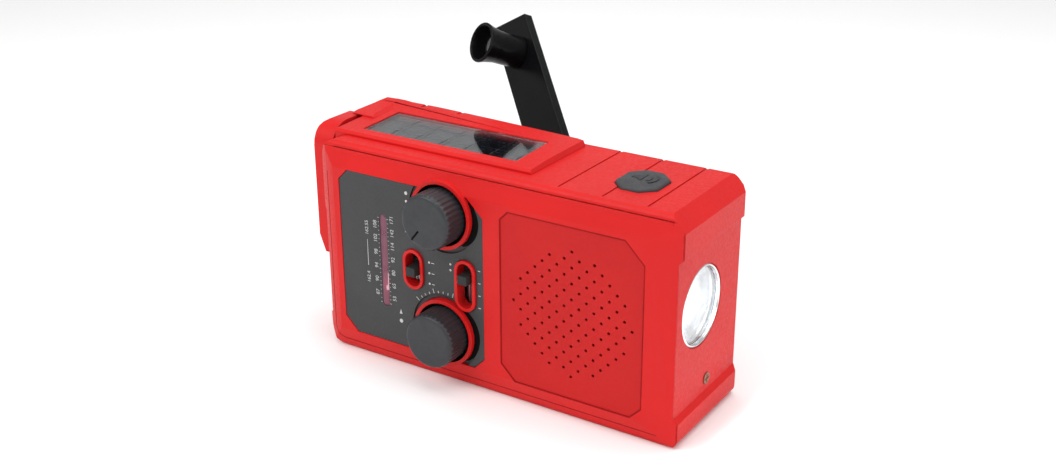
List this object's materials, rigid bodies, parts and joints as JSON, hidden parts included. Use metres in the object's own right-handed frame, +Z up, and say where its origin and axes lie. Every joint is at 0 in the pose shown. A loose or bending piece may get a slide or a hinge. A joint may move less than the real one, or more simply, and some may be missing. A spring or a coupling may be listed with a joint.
{
  "type": "emergency radio",
  "caption": "Rugged red hand-cranked emergency radio with solar top panel, end lamp, slide-rule dial, speaker panel and raised folding crank.",
  "frame": {"origin": "on the table, 22.2 mm behind the front face and 71 mm in from the lamp end", "axes": "+X towards the lamp end, -Y towards the front face, +Z up"},
  "size_m": [0.154, 0.1031, 0.1129],
  "materials": {
    "case_red": "satin, lightly textured red housing plastic",
    "panel_red": "fine-textured red",
    "dial_dark": "fine-textured dark grey",
    "window_mauve": "tinted clear strip",
    "knob_black": "satin black with ridges",
    "lever_grey": "matte grey",
    "button_rubber": "matte dark grey rubber",
    "crank_black": "gloss black",
    "white_plastic": "plain",
    "cell_dark": "dark solar cells",
    "clear_glass": "clear, polished",
    "chrome_trim": "polished",
    "steel": "plain",
    "brass_metal": "plain",
    "board_green": "solder-masked board",
    "dark_plastic": "plain black",
    "cell_blue": "sleeved battery",
    "ferrite": "dark sintered",
    "copper_wire": "enamelled wire",
    "cord_white": "woven cord",
    "cone_paper": "pressed paper"
  },
  "bodies": {
    "case": {"rear_housing": "case_red", "front_cover": "case_red", "dial_plate": "dial_dark", "dial_window": "window_mauve", "pointer_rail": "steel", "dial_cord": "cord_white", "tuning_capacitor": "white_plastic", "volume_potentiometer": "steel", "band_switch": "steel", "function_switch": "steel", "main_board": "board_green", "speaker_grille": "panel_red", "speaker_frame": "steel", "speaker_magnet": "steel", "speaker_cone": "cone_paper", "solar_frame": "case_red", "solar_cell": "cell_dark", "solar_glass": "clear_glass", "alarm_switch": "dark_plastic", "button_board": "board_green", "lamp_bezel": "chrome_trim", "lamp_lens": "clear_glass", "lamp_reflector": "chrome_trim", "lamp_led": "white_plastic", "lamp_screw": "steel", "port_hinge_pin": "steel", "port_block": "dark_plastic", "battery_tray": "dark_plastic", "battery_cell": "cell_blue", "battery_contacts": "steel", "battery_door": "case_red", "door_screw": "steel", "ferrite_rod": "ferrite", "antenna_coil": "copper_wire", "crank_bush": "brass_metal", "idler_axle": "steel", "gear_plate": "dark_plastic", "generator_can": "steel", "board_screws": "steel", "plate_screws": "steel", "case_screws": "steel"},
    "tuning": {"tuning_knob": "knob_black", "tuning_shaft": "brass_metal", "cord_drum": "white_plastic"},
    "volume": {"volume_knob": "knob_black", "volume_shaft": "brass_metal"},
    "pointer": {"dial_pointer": "white_plastic"},
    "band": {"band_lever": "lever_grey"},
    "function": {"function_lever": "lever_grey"},
    "button": {"alarm_button": "button_rubber"},
    "cover": {"port_cover": "case_red"},
    "crank": {"crank_hub": "crank_black", "crank_shaft": "steel", "drive_gear": "white_plastic", "fold_pin": "steel"},
    "arm": {"crank_arm": "crank_black", "knob_rivet": "steel"},
    "grip": {"crank_knob": "crank_black"},
    "idler": {"idler_gear": "white_plastic"},
    "rotor": {"generator_rotor": "steel"}
  },
  "joints": [
    {"name": "crank_spin", "type": "hinge", "parent": "case", "child": "crank", "pos_m": [0.0037, 0.0254, 0.0617], "axis": [0, 1, 0], "continuous": true},
    {"name": "crank_fold", "type": "hinge", "parent": "crank", "child": "arm", "pos_m": [-0.00536, 0.0284, 0.06957], "axis": [-0.6561, 0, -0.7547], "range_deg": [-33.7, 146.3]},
    {"name": "grip_spin", "type": "hinge", "parent": "arm", "child": "grip", "pos_m": [-0.03857, 0.05775, 0.09845], "axis": [-0.4187, -0.832, 0.364], "continuous": true},
    {"name": "idler_spin", "type": "hinge", "parent": "case", "child": "idler", "pos_m": [0.01158, 0.009, 0.04806], "axis": [0, 1, 0], "continuous": true},
    {"name": "rotor_spin", "type": "hinge", "parent": "case", "child": "rotor", "pos_m": [0.02536, 0.009, 0.03649], "axis": [0, 1, 0], "continuous": true},
    {"name": "volume_turn", "type": "hinge", "parent": "case", "child": "volume", "pos_m": [-0.0186, -0.0222, 0.0635], "axis": [0, 1, 0], "range_deg": [0, 300]},
    {"name": "tuning_turn", "type": "hinge", "parent": "case", "child": "tuning", "pos_m": [-0.0186, -0.0222, 0.0196], "axis": [0, 1, 0], "range_deg": [-31.5, 190.5]},
    {"name": "pointer_slide", "type": "slide", "parent": "case", "child": "pointer", "axis": [0, 0, 1], "range_m": [-0.0046, 0.0268]},
    {"name": "band_slide", "type": "slide", "parent": "case", "child": "band", "axis": [0, 0, 1], "range_m": [-0.003, 0.003]},
    {"name": "function_slide", "type": "slide", "parent": "case", "child": "function", "axis": [0, 0, 1], "range_m": [-0.0081, 0.0019]},
    {"name": "alarm_press", "type": "slide", "parent": "case", "child": "button", "axis": [0, 0, -1], "range_m": [0, 0.0012], "stiffness_N_per_m": 60},
    {"name": "cover_hinge", "type": "hinge", "parent": "case", "child": "cover", "pos_m": [-0.0766, 0, 0.033], "axis": [0, -1, 0], "range_deg": [0, 100]}
  ],
  "couplings": [
    {"joint": "idler_spin", "follows": "crank_spin", "ratio": -2.5},
    {"joint": "rotor_spin", "follows": "crank_spin", "ratio": 7.5},
    {"joint": "pointer_slide", "follows": "tuning_turn", "m_per_rad": 0.008}
  ]
}
